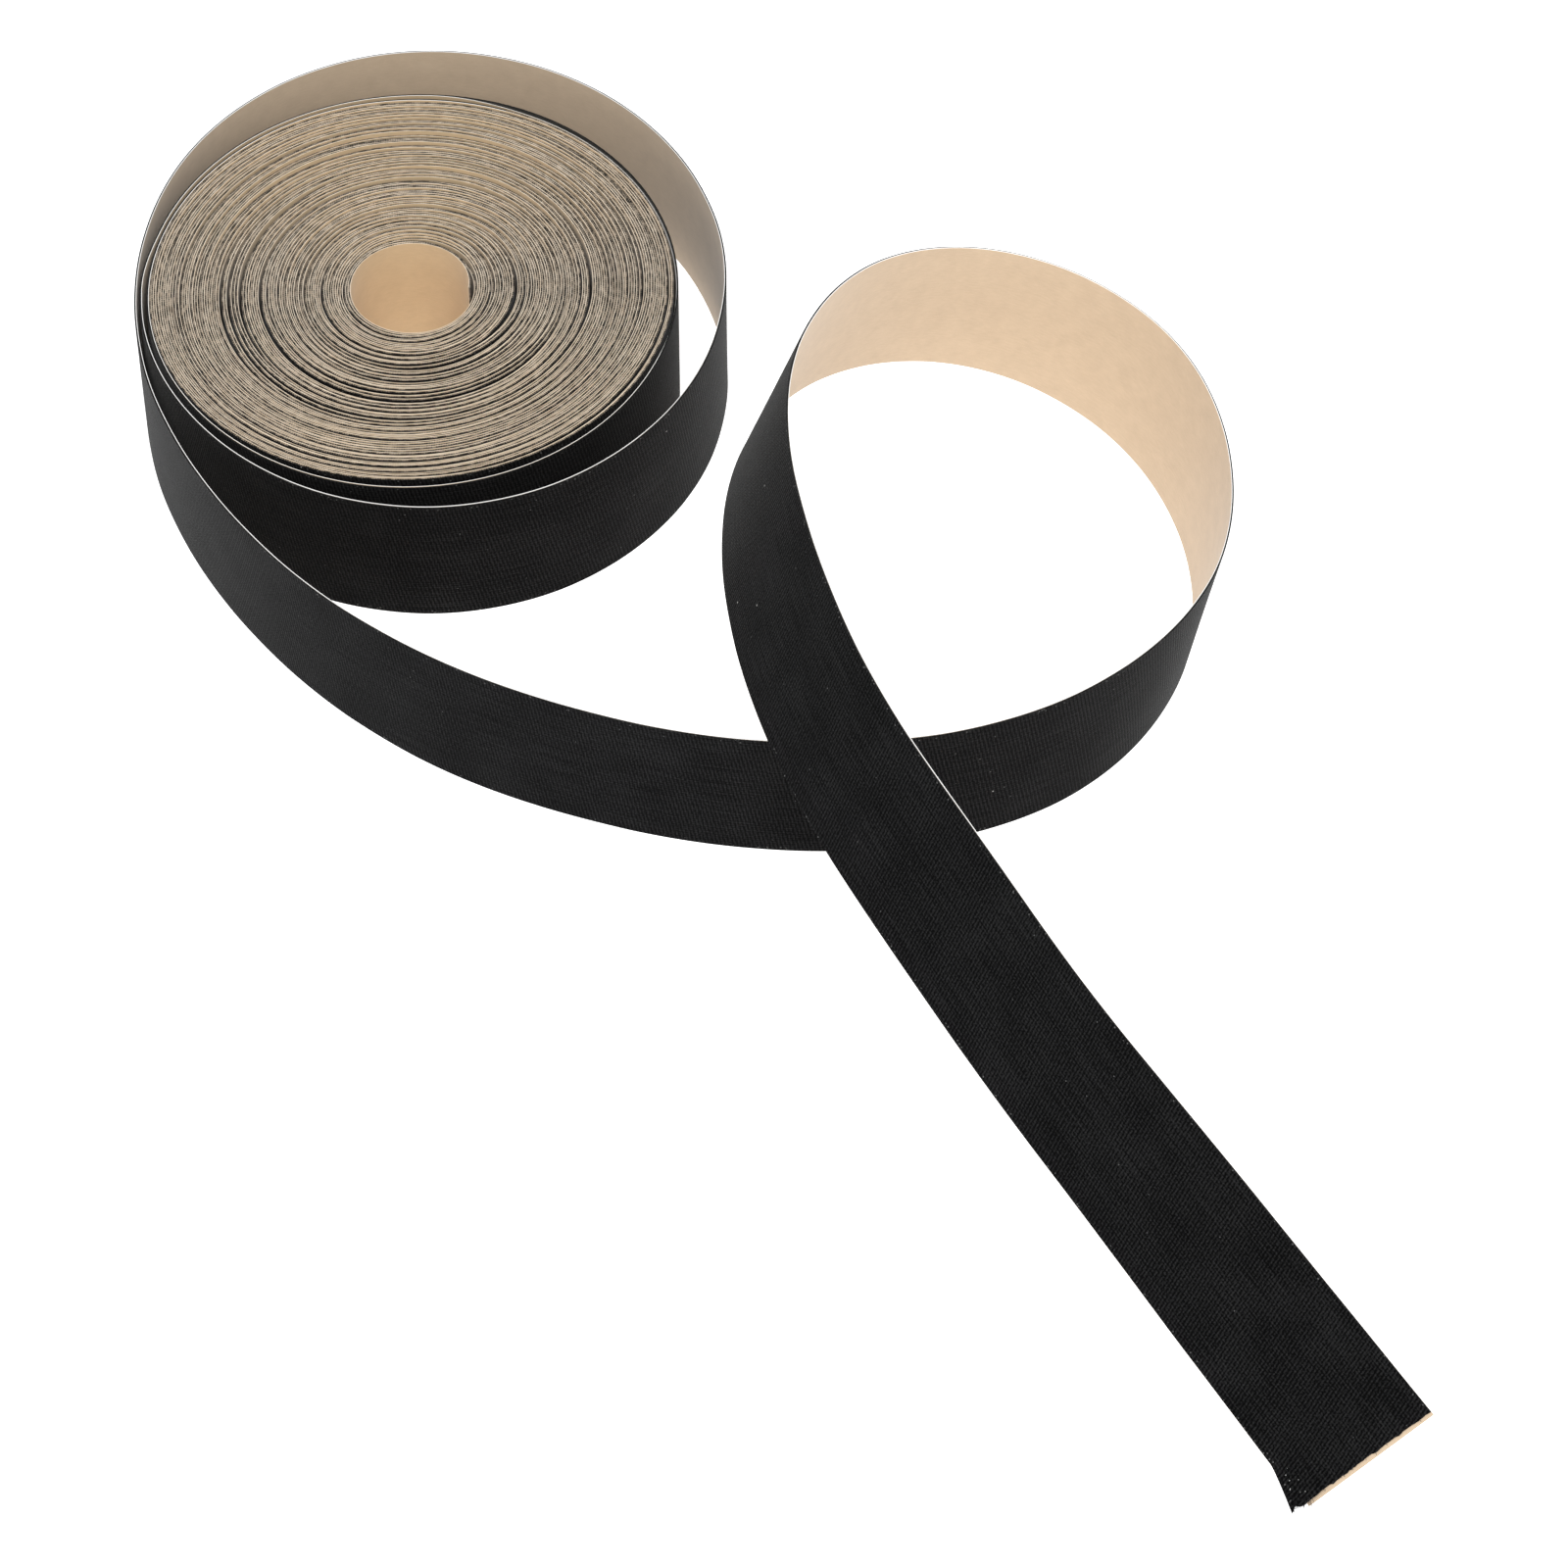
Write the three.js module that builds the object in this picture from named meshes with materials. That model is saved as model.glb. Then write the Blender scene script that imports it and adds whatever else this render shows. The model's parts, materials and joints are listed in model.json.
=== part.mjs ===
// Grip tape roll: a coreless roll of cloth tape on its paper release liner, partly unwound.
// The tape is one strip of three layers. From the inner end in the bore it winds outwards,
// counter-clockwise seen from above, with the cloth outside and the liner inside. The outer end
// leaves the roll as a loose turn, runs off standing on its edge, rises into a free loop, crosses
// over itself and slopes down to a scissor cut.
// Millimetres, +Z up. Origin: centre of the footprint, on the floor.

import * as THREE from "three";

// ---- Driving dimensions ----

const TAPE_WIDTH = 25;
const CLOTH_THICKNESS = 0.24;
const ADHESIVE_THICKNESS = 0.04;
const LINER_THICKNESS = 0.07;
const LAYER_GAP = 0.02; // air between neighbouring layers
const PITCH = CLOTH_THICKNESS + ADHESIVE_THICKNESS + LINER_THICKNESS + 3 * LAYER_GAP;

const BORE_RADIUS = 9.4; // inner face of the innermost turn
const WOUND_TURNS = 77.5; // from the inner end, at 0 degrees, to the outer end, at 180 degrees
const STEP_ANGLE = 5; // degrees between stations on a wound turn

const CUT_GAP = 0.3; // between two solids that continue the same layer
const SAMPLE_STEP = 5.5; // between stations on the free strip, about
const CUT_SKEW = 2; // the lower corner of the cut is this much short of the upper one
const BEND_TOP = 720; // where the tail bends from the loop, along the free strip
const PEEL_ROOT = 816; // where the cloth tip starts to part from the liner

// The loose turn round the roll: angle in degrees, radius of the middle of the strip.
const LOOSE_TURN = [
  [185, 42.2], [192, 42.25], [210, 42.6], [240, 43.7], [270, 45.3], [300, 46.8], [330, 48.0],
  [360, 49.1], [390, 50.3], [420, 51.6], [440, 51.9], [460, 51.2], [480, 49.3], [500, 46.8],
];

// The rest of the free strip, about the roll's axis: x, y and z of the lower edge, then how far
// the upper edge stands over to the side of it in x and y.
const FREE_RUN = [
  [-42.5, 10.5, 0, 0, 0],
  [-41, -15, 0, -0.5, 0],
  [-31, -39, 0, -0.5, 0],
  [-15.5, -59.5, 0, 0, 0],
  [5, -76, 0, 0.5, 0.5],
  [28.5, -86.5, 0, 0.5, 0.5],
  [53.5, -92, 0, 0.5, 0.5],
  [79.5, -91, 0, 1, 0.5],
  [103, -81, 0, 1.5, 0],
  [118.5, -61, 0, 3.5, -1],
  [121.5, -35.5, 0.5, 5.5, -1],
  [110, -13.5, 5, 8, 0.5],
  [87, -5, 12.5, 8.5, 2],
  [65.5, -15, 21.5, 8.5, 3],
  [52.5, -36, 29, 9, 2.5],
  [49, -61, 33, 10, 2.5],
  [52.5, -86.5, 33.5, 11.5, 2.5],
  [61.5, -111, 31.5, 12, 3],
  [74, -132.5, 27, 13, 3],
  [88, -153, 20.5, 13, 3.5],
  [103, -173, 13.5, 14, 4],
  [118, -193, 6.5, 15, 5],
  [134, -213.5, -0.2, 15, 5.5],
];

// Layers of the strip, as heights above its inner face, along its outward normal.
const LINER = [0, LINER_THICKNESS];
const ADHESIVE = [LINER[1] + LAYER_GAP, LINER[1] + LAYER_GAP + ADHESIVE_THICKNESS];
const CLOTH = [ADHESIVE[1] + LAYER_GAP, ADHESIVE[1] + LAYER_GAP + CLOTH_THICKNESS];
const STRIP_THICKNESS = CLOTH[1];

// ---- Materials ----

const clothMaterial = new THREE.MeshStandardMaterial({ color: 0x232325, roughness: 0.95, metalness: 0 });
const adhesiveMaterial = new THREE.MeshStandardMaterial({ color: 0xd8d2c0, roughness: 0.5, metalness: 0 });
const linerMaterial = new THREE.MeshStandardMaterial({ color: 0xd9bf9f, roughness: 0.7, metalness: 0 });
const woundMaterial = new THREE.MeshStandardMaterial({ color: 0x9c8a74, roughness: 0.85, metalness: 0 });

// ---- Curves ----

// Natural cubic spline through values at increasing knots.
function naturalSpline(knots, values) {
  const last = knots.length - 1;
  const bend = new Array(last + 1).fill(0);
  const ratio = new Array(last + 1).fill(0);
  for (let i = 1; i < last; i++) {
    const before = knots[i] - knots[i - 1];
    const after = knots[i + 1] - knots[i];
    const slopeChange = (values[i + 1] - values[i]) / after - (values[i] - values[i - 1]) / before;
    const pivot = 2 * (before + after) - before * ratio[i - 1];
    ratio[i] = after / pivot;
    bend[i] = (6 * slopeChange - before * bend[i - 1]) / pivot;
  }
  for (let i = last - 1; i > 0; i--) bend[i] -= ratio[i] * bend[i + 1];
  return (at) => {
    let i = 0;
    while (i < last - 1 && at > knots[i + 1]) i++;
    const span = knots[i + 1] - knots[i];
    const a = (knots[i + 1] - at) / span;
    const b = 1 - a;
    const curve = ((a ** 3 - a) * bend[i] + (b ** 3 - b) * bend[i + 1]) * span * span / 6;
    return a * values[i] + b * values[i + 1] + curve;
  };
}

// Both edges of the free strip as functions of the distance along its middle.
function freeStrip() {
  const rows = LOOSE_TURN.map(([degrees, radius]) => {
    const angle = THREE.MathUtils.degToRad(degrees);
    return [radius * Math.cos(angle), radius * Math.sin(angle), 0, 0, 0];
  }).concat(FREE_RUN);
  const lower = rows.map(([x, y, z]) => new THREE.Vector3(x, y, z));
  const upper = rows.map(([x, y, z, overX, overY]) => {
    const rise = Math.sqrt(TAPE_WIDTH ** 2 - overX ** 2 - overY ** 2);
    return new THREE.Vector3(x + overX, y + overY, z + rise);
  });
  const knots = [0];
  for (let i = 1; i < rows.length; i++) {
    const step = lower[i].distanceTo(lower[i - 1]) + upper[i].distanceTo(upper[i - 1]);
    knots.push(knots[i - 1] + step / 2);
  }
  const axes = ["x", "y", "z"];
  const lowerSpline = axes.map((axis) => naturalSpline(knots, lower.map((point) => point[axis])));
  const upperSpline = axes.map((axis) => naturalSpline(knots, upper.map((point) => point[axis])));
  const edges = (at) => {
    const low = new THREE.Vector3(...lowerSpline.map((spline) => spline(at)));
    const high = new THREE.Vector3(...upperSpline.map((spline) => spline(at)));
    const across = high.sub(low).setLength(TAPE_WIDTH);
    return { lower: low, upper: low.clone().add(across) };
  };
  return { length: knots[knots.length - 1], edges };
}

// A station of the free strip: a point on the inner face at each edge, and the normal there.
function freeStation(strip, lowerAt, upperAt) {
  const lower = strip.edges(lowerAt).lower;
  const upper = strip.edges(upperAt).upper;
  const across = upper.clone().sub(lower).normalize();
  const reach = 0.5;
  const edge = (point, at, side) => {
    const tangent = strip.edges(at + reach)[side].sub(strip.edges(at - reach)[side]);
    const normal = tangent.cross(across).normalize();
    return { point: point.clone().addScaledVector(normal, -STRIP_THICKNESS / 2), normal };
  };
  return [edge(lower, lowerAt, "lower"), edge(upper, upperAt, "upper")];
}

// Stations along the free strip between two distances, which go to the nearest whole step, so
// that all layers share their stations. Each end is CUT_GAP / 2 short, apart from the cut.
function freeStations(strip, from, to) {
  const steps = Math.round(strip.length / SAMPLE_STEP);
  const step = strip.length / steps;
  const first = Math.round(from / step);
  const last = Math.min(steps, Math.round(to / step));
  const stations = [];
  for (let i = first; i <= last; i++) {
    let upperAt = i * step;
    let lowerAt = upperAt;
    if (i === steps) lowerAt -= CUT_SKEW;
    else if (i === first) upperAt = lowerAt += CUT_GAP / 2;
    else if (i === last) upperAt = lowerAt -= CUT_GAP / 2;
    stations.push(freeStation(strip, lowerAt, upperAt));
  }
  return stations;
}

// Radius of the inner face of the strip after so many wound turns.
const woundRadius = (turns) => BORE_RADIUS + PITCH * turns;

// Stations along the wound strip, from one count of turns to another.
function woundStations(fromTurn, toTurn) {
  const count = Math.round(((toTurn - fromTurn) * 360) / STEP_ANGLE);
  const stations = [];
  for (let i = 0; i <= count; i++) {
    let turns = fromTurn + ((toTurn - fromTurn) * i) / count;
    if (i === count) turns -= CUT_GAP / (2 * Math.PI * woundRadius(turns));
    const angle = 2 * Math.PI * turns;
    const normal = new THREE.Vector3(Math.cos(angle), Math.sin(angle), 0);
    const lower = normal.clone().multiplyScalar(woundRadius(turns));
    const upper = lower.clone().setZ(TAPE_WIDTH);
    stations.push([{ point: lower, normal }, { point: upper, normal }]);
  }
  return stations;
}

// ---- Solids ----

// One layer of the strip as a closed solid. Each station gives four corners.
function layerMesh(name, stations, [inner, outer], material) {
  const positions = [];
  for (const [lower, upper] of stations) {
    for (const [edge, height] of [[lower, inner], [upper, inner], [upper, outer], [lower, outer]]) {
      const corner = edge.point.clone().addScaledVector(edge.normal, height);
      corner.z = Math.max(0, corner.z);
      positions.push(...corner.toArray());
    }
  }
  const indices = [];
  const quad = (a, b, c, d) => indices.push(a, b, c, a, c, d);
  for (let i = 0; i < stations.length - 1; i++) {
    for (let side = 0; side < 4; side++) {
      const corner = 4 * i + side;
      const next = 4 * i + ((side + 1) % 4);
      // Both faces are split from the lower edge up to the next station, so layers stay parallel.
      if (side === 2) quad(next, next + 4, corner + 4, corner);
      else quad(corner, next, next + 4, corner + 4);
    }
  }
  const end = 4 * (stations.length - 1);
  quad(3, 2, 1, 0);
  quad(end, end + 1, end + 2, end + 3);
  const geometry = new THREE.BufferGeometry();
  geometry.setAttribute("position", new THREE.Float32BufferAttribute(positions, 3));
  geometry.setIndex(indices);
  geometry.computeVertexNormals();
  const mesh = new THREE.Mesh(geometry, material);
  mesh.name = name;
  return mesh;
}

// All three layers of one stretch of the strip.
function layers(name, stations) {
  return [
    layerMesh(`${name}_liner`, stations, LINER, linerMaterial),
    layerMesh(`${name}_adhesive`, stations, ADHESIVE, adhesiveMaterial),
    layerMesh(`${name}_cloth`, stations, CLOTH, clothMaterial),
  ];
}

// The turns between the innermost and the outermost one, wound tight into one mass.
function woundPack() {
  const outline = (firstTurn, height) => {
    const points = [];
    const count = 360 / STEP_ANGLE;
    for (let i = 0; i <= count; i++) {
      const turns = firstTurn + i / count;
      const angle = 2 * Math.PI * turns;
      const radius = woundRadius(turns) + height;
      points.push(new THREE.Vector2(radius * Math.cos(angle), radius * Math.sin(angle)));
    }
    return points;
  };
  const shape = new THREE.Shape(outline(WOUND_TURNS - 2, STRIP_THICKNESS));
  shape.holes.push(new THREE.Path(outline(1, 0)));
  const geometry = new THREE.ExtrudeGeometry(shape, { depth: TAPE_WIDTH, bevelEnabled: false });
  const mesh = new THREE.Mesh(geometry, woundMaterial);
  mesh.name = "wound_pack";
  return mesh;
}

// ---- Assembly ----

const strip = freeStrip();

// The roll, which turns about its own axis.
const roll = new THREE.Group();
roll.add(woundPack());
roll.add(...layers("inner_turn", woundStations(0, 1)));
roll.add(...layers("outer_turn", woundStations(WOUND_TURNS - 1, WOUND_TURNS)));

// The cloth of the loose turn, the standing run and the loop, in stretches that bend little.
const CLOTH_STRETCHES = {
  loose_turn_cloth_front: [0, 90],
  loose_turn_cloth_right: [90, 178],
  loose_turn_cloth_back: [178, 270],
  run_cloth_left: [270, 366],
  run_cloth_front: [366, 466],
  loop_cloth_right: [466, 546],
  loop_cloth_back: [546, 628],
  loop_cloth_left: [628, BEND_TOP],
};
const run = new THREE.Group();
for (const [name, [from, to]] of Object.entries(CLOTH_STRETCHES)) {
  run.add(layerMesh(name, freeStations(strip, from, to), CLOTH, clothMaterial));
}
const runStations = freeStations(strip, 0, BEND_TOP);
run.add(layerMesh("run_adhesive", runStations, ADHESIVE, adhesiveMaterial));
run.add(layerMesh("run_liner", runStations, LINER, linerMaterial));

// The tail, which lifts at the bend. Its liner goes on to the cut.
const tail = new THREE.Group();
const tailStations = freeStations(strip, BEND_TOP, PEEL_ROOT);
tail.add(layerMesh("tail_cloth", tailStations, CLOTH, clothMaterial));
tail.add(layerMesh("tail_adhesive", tailStations, ADHESIVE, adhesiveMaterial));
tail.add(layerMesh("tail_liner", freeStations(strip, BEND_TOP, strip.length), LINER, linerMaterial));

// The tip of the cloth with its adhesive, which peels off the liner.
const tip = new THREE.Group();
const tipStations = freeStations(strip, PEEL_ROOT, strip.length);
tip.add(layerMesh("tip_cloth", tipStations, CLOTH, clothMaterial));
tip.add(layerMesh("tip_adhesive", tipStations, ADHESIVE, adhesiveMaterial));
tail.add(tip);
run.add(tail);

// The roll's axis is at the inner origin. The whole is shifted to stand over its footprint.
const assembly = new THREE.Group();
assembly.add(roll, run);
const footprint = new THREE.Box3().setFromObject(assembly, true);
assembly.position.set(
  -(footprint.min.x + footprint.max.x) / 2,
  -(footprint.min.y + footprint.max.y) / 2,
  -footprint.min.z,
);

const group = new THREE.Group();
group.add(assembly);

export default group;
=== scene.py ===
"""A coreless roll of cloth grip tape on its paper liner, partly unwound.

The tape is one strip of three layers: woven black cloth, adhesive and tan kraft liner. The roll is
modelled turn by turn. The free strip follows the same route as the CAD part.
"""

import json
import math

import bpy
import numpy as np
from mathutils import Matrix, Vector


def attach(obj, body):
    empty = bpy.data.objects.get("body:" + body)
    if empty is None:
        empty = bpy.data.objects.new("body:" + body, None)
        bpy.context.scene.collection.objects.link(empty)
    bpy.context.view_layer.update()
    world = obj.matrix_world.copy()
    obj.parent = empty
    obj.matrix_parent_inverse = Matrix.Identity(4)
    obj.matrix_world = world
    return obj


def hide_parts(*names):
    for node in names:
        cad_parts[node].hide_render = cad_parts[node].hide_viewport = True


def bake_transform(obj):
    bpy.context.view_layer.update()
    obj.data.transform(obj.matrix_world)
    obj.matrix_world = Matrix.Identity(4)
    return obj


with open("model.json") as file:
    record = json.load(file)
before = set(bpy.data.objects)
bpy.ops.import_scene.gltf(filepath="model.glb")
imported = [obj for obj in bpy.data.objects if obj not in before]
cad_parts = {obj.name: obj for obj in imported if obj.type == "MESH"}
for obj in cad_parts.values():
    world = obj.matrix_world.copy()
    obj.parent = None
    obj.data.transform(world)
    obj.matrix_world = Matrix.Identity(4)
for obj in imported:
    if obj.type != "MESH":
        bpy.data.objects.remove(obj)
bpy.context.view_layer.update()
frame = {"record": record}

MM = 0.001

# ---- Dimensions, in millimetres ----

TAPE_WIDTH = 25.0
CLOTH_THICKNESS = 0.22
ADHESIVE_THICKNESS = 0.02
LINER_THICKNESS = 0.08
LAYER_GAP = 0.01
STRIP_THICKNESS = 0.39  # between the faces of the strip as CAD lays it
LINER_PROUD = 0.10  # how far the liner stands above the cloth's edge

# The spiral of the roll.
PITCH = 0.416
BORE_RADIUS = 9.4
WOUND_TURNS = 77.5
STEPS_PER_TURN = 144
INNER_END_LIFT = 0.55  # how far the inner end stands off the turn behind it
INNER_END_TURN = 0.18  # over this share of a turn
OUTER_END_LIFT = 0.615  # how far the outer end rises to meet the loose turn
OUTER_END_TURN = 0.05
OUTER_SWAY = 0.28  # how far the outermost turn hangs over to the back
LEAVING = 0.05  # half the share of a turn over which the outermost turn leaves the stack

# How far the turns inside it stay back from an even spiral.
SLACK_ALL_ROUND = 0.15
SLACK_FRONT_AND_BACK = 0.72  # the mean of what is added there
SLACK_FRONT_OVER_MEAN = 0.22
SLACK_CORNER = 0.50  # what is added at one corner of the roll
SLACK_CORNER_ANGLE = math.radians(320)

# How the turns waver. Each wave has a height, changes per turn, and a seed.
AIR_WAVES = [(2.4, 2.23, 11), (1.4, 0.47, 12)]  # in the logarithm of a turn's share of the air
MOST_AIR = 14  # the largest share, where 1 is an even one
EDGE_LEVEL = 0.54  # how high the lower edge of the wound strip lies
EDGE_WAVES = [(0.40, 2.87, 21), (0.13, 7.31, 22)]
EDGE_SETTLING = 0.3  # the share of a turn over which the outer end comes down to the table
WOUND_NARROWER = 0.50  # so that the raised turns don't stand out above the outer end
WOUND_PROUD = 0.06  # how far the liner stands above the cloth's edge in the roll
WOUND_PROUD_WAVES = [(0.05, 5.37, 23)]
WOUND_CLOTH_INSET = 0.03  # from the liner's lower edge
WOUND_FILM_INSETS = (0.05, 0.03)  # from the liner's lower edge and from the cloth's upper edge
SLIP = 0.7  # how far the liner has slipped down in a part of the outermost turn
SLIP_FROM, SLIP_TO, SLIP_EASE = 76.93, 77.24, 0.06  # where that part is, in turns

# The free strip. Distances along it start where CAD's free strip does.
START_GAP = 0.05  # between the roll's outer end and the loose turn
RUN_END = 640.0  # where the pieces of the run end and those of the tail begin
BEND_TOP = 720.0  # where the tail bends up
BEND_BEFORE = 12.0
BEND_AFTER = 30.0
HIDING = (735.0, 775.0)  # where the liner's edges draw back under the tail's cloth
HIDDEN_SHARE = 0.85  # the share of LINER_PROUD that is drawn back
UNDERCUT = 0.15  # how far the lower edge is drawn back
TAIL_CLOTH_END = 800.0
PEEL_ROOT = 815.3  # where the cloth tip parts from the liner
PEEL_BEND = 13.0
CUT_PAST = 1.0  # how far the upper corner of the cut lies past the end of the route
CUT_SKEW = 3.0
STEP = 1.0  # between stations along the free strip
TIP_STEP = 0.35
COLUMNS = 9  # across the strip
LONG_RIPPLE = (0.10, 37, 3)  # height, length and seed
SHORT_RIPPLE = (0.05, 9, 4)
RIPPLE_START = 80  # the distance over which the ripple sets in

# The cut end of the cloth.
TIP_COLUMNS = 70
TIP_CROWDING = 1.4  # above 1, the columns crowd at the lower corner
SHORT_OF_LINER = 0.54  # how far the cloth stays back from the liner's cut at the corners
SHORT_IN_MIDDLE = 0.15  # and how much more in the middle
FILM_SHORT = 0.75
RAGGED_WAVES = [(0.11, 34, 31), (0.09, 90, 32)]  # height, changes over the tape's width, seed
NOTCH_DEPTH = 0.45
NOTCH_PLACE, NOTCH_WIDTH = 0.02, 0.012  # as shares of the tape's width
SPREAD, SPREAD_LENGTH = 0.45, 26  # how far the lower edge spreads over the floor
CORNER_SPREAD, CORNER_LENGTH = 2.2, 8  # and how much more at the corner
SPREAD_WIDTH = 0.25  # the share of the tape's width that spreads

# The loose turn round the roll: angle in degrees, radius of the middle of the strip.
LOOSE_TURN = [
    (180, 42.45), (188, 42.45), (200, 42.48), (215, 42.65), (240, 43.6), (270, 45.3), (300, 46.8),
    (330, 48.0), (360, 49.1), (390, 50.3), (420, 51.6), (440, 51.9), (460, 51.2), (480, 49.3),
    (500, 46.8),
]
CAD_START = 3.67  # the distance from the first station to the start of the CAD's free strip

# The rest of the free strip, about the roll's axis: x, y and z of the lower edge, then how far
# the upper edge stands over to the side of it in x and y.
FREE_RUN = [
    (-42.5, 10.5, 0, 0, 0),
    (-41, -15, 0, -0.5, 0),
    (-31, -39, 0, -0.5, 0),
    (-15.5, -59.5, 0, 0, 0),
    (5, -76, 0, 0.5, 0.5),
    (28.5, -86.5, 0, 0.5, 0.5),
    (53.5, -92, 0, 0.5, 0.5),
    (79.5, -91, 0, 1, 0.5),
    (103, -81, 0, 1.5, 0),
    (118.5, -61, 0, 3.5, -1),
    (121.5, -35.5, 0.5, 5.5, -1),
    (110, -13.5, 5, 8, 0.5),
    (87, -5, 12.5, 8.5, 2),
    (65.5, -15, 21.5, 8.5, 3),
    (52.5, -36, 29, 9, 2.5),
    (49, -61, 33, 10, 2.5),
    (52.5, -86.5, 33.5, 11.5, 2.5),
    (61.5, -111, 31.5, 12, 3),
    (74, -132.5, 27, 13, 3),
    (88, -153, 20.5, 13, 3.5),
    (103, -173, 13.5, 14, 4),
    (118, -193, 6.5, 15, 5),
    (134, -213.5, -0.2, 15, 5.5),
]

# Layers of the strip, as heights above its inner face.
LINER = (0.0, LINER_THICKNESS)
ADHESIVE = (LINER[1] + LAYER_GAP, LINER[1] + LAYER_GAP + ADHESIVE_THICKNESS)
CLOTH = (ADHESIVE[1] + LAYER_GAP, ADHESIVE[1] + LAYER_GAP + CLOTH_THICKNESS)
LAMINATE = CLOTH[1]

# Edges of the layers, as shares of the tape's width.
CLOTH_TOP = 1 - 0.5 * LINER_PROUD / TAPE_WIDTH
FILM_INSET = 0.002

joints = {joint["name"]: joint for joint in frame["record"]["behaviour"]["joints"]}
roll_axis = np.array(joints["roll_spin"]["pos_m"]) * (1, 1, 0)


# ---- Small tools ----

def smoothstep(x):
    x = np.clip(x, 0.0, 1.0)
    return x * x * (3 - 2 * x)


def smooth_noise(x, seed):
    """Noise from -1 to 1 that changes smoothly over a distance of about 1."""
    x = np.asarray(x, float)
    rng = np.random.default_rng(seed)
    knots = rng.uniform(-1, 1, int(np.max(x)) + 3)
    cell = np.floor(x).astype(int)
    blend = smoothstep(x - cell)
    return knots[cell] * (1 - blend) + knots[cell + 1] * blend


def wavering(at, middle, waves):
    """A line that wavers about its middle. Each wave has a height, changes per unit and a seed."""
    line = middle
    for height, rate, seed in waves:
        line = line + height * smooth_noise(at * rate, seed)
    return line


def unit(vectors):
    return vectors / np.linalg.norm(vectors, axis=-1, keepdims=True)


# ---- Free strip ----

def natural_spline(knots, values):
    """Natural cubic spline through rows of values at increasing knots."""
    count = len(knots)
    span = np.diff(knots)
    slope = np.diff(values, axis=0) / span[:, None]
    matrix = np.eye(count)
    right = np.zeros_like(values)
    for i in range(1, count - 1):
        matrix[i, i - 1:i + 2] = span[i - 1], 2 * (span[i - 1] + span[i]), span[i]
        right[i] = 6 * (slope[i] - slope[i - 1])
    bend = np.linalg.solve(matrix, right)

    def curve(at):
        i = np.clip(np.searchsorted(knots, at) - 1, 0, count - 2)
        a = ((knots[i + 1] - at) / span[i])[:, None]
        b = 1 - a
        swing = (a ** 3 - a) * bend[i] + (b ** 3 - b) * bend[i + 1]
        return a * values[i] + b * values[i + 1] + swing * span[i][:, None] ** 2 / 6

    return curve


def free_route():
    """Lower and upper edge of the free strip, as curves over the distance along it, and its ends."""
    turn = np.array(LOOSE_TURN)
    angle = np.radians(turn[:, 0])
    ring = np.zeros((len(turn), 5))
    ring[:, 0] = turn[:, 1] * np.cos(angle)
    ring[:, 1] = turn[:, 1] * np.sin(angle)
    rows = np.vstack([ring, np.array(FREE_RUN, float)])
    lower = rows[:, :3]
    rise = np.sqrt(TAPE_WIDTH ** 2 - rows[:, 3] ** 2 - rows[:, 4] ** 2)
    upper = lower + np.column_stack([rows[:, 3], rows[:, 4], rise])
    steps = [np.linalg.norm(np.diff(edge, axis=0), axis=1) for edge in (lower, upper)]
    knots = np.concatenate([[0], np.cumsum((steps[0] + steps[1]) / 2)])
    knots -= CAD_START
    return natural_spline(knots, lower), natural_spline(knots, upper), knots[0], knots[-1]


lower_edge, upper_edge, route_start, FREE_LENGTH = free_route()
FREE_START = route_start + START_GAP


def on_strip(along, across):
    """Points and normals of the middle of the strip. across is 0 at the lower edge, 1 at the upper."""
    shape = along.shape
    along = along.ravel()
    across = across.ravel()[:, None]

    def middle(at):
        low = lower_edge(at)
        width = unit(upper_edge(at) - low) * TAPE_WIDTH
        return low + width * across, unit(width)

    reach = 0.5
    point, upward = middle(along)
    tangent = middle(along + reach)[0] - middle(along - reach)[0]
    normal = unit(np.cross(tangent, upward))
    return point.reshape(*shape, 3), normal.reshape(*shape, 3)


def at_middle(along):
    """A point of the free strip on its middle line, in metres."""
    point, _ = on_strip(np.array([along]), np.array([0.5]))
    return point[0] * MM + roll_axis


def ripple(along, across):
    """Slight unevenness of the strip, off its smooth surface."""
    travelled = along - FREE_START

    def wave(height, length, seed):
        return height * smooth_noise(travelled / length, seed)

    twisting = wave(*LONG_RIPPLE) * (across - 0.5)
    curling_edges = wave(*SHORT_RIPPLE) * (2 * across - 1) ** 2
    return (twisting + curling_edges) * smoothstep(travelled / RIPPLE_START)


def strip_grid(along, across, layer):
    """Inner and outer surface of one layer over a grid of the free strip, in metres."""
    point, normal = on_strip(along, across)
    base = -STRIP_THICKNESS / 2 + ripple(along, across)
    inner = point + normal * (base + layer[0])[..., None]
    outer = point + normal * (base + layer[1])[..., None]
    for surface in (inner, outer):
        surface[..., 2] = np.maximum(surface[..., 2], 0.0)
    return inner * MM + roll_axis, outer * MM + roll_axis


# ---- Meshes ----

SHARP_EDGE = math.radians(40)


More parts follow.
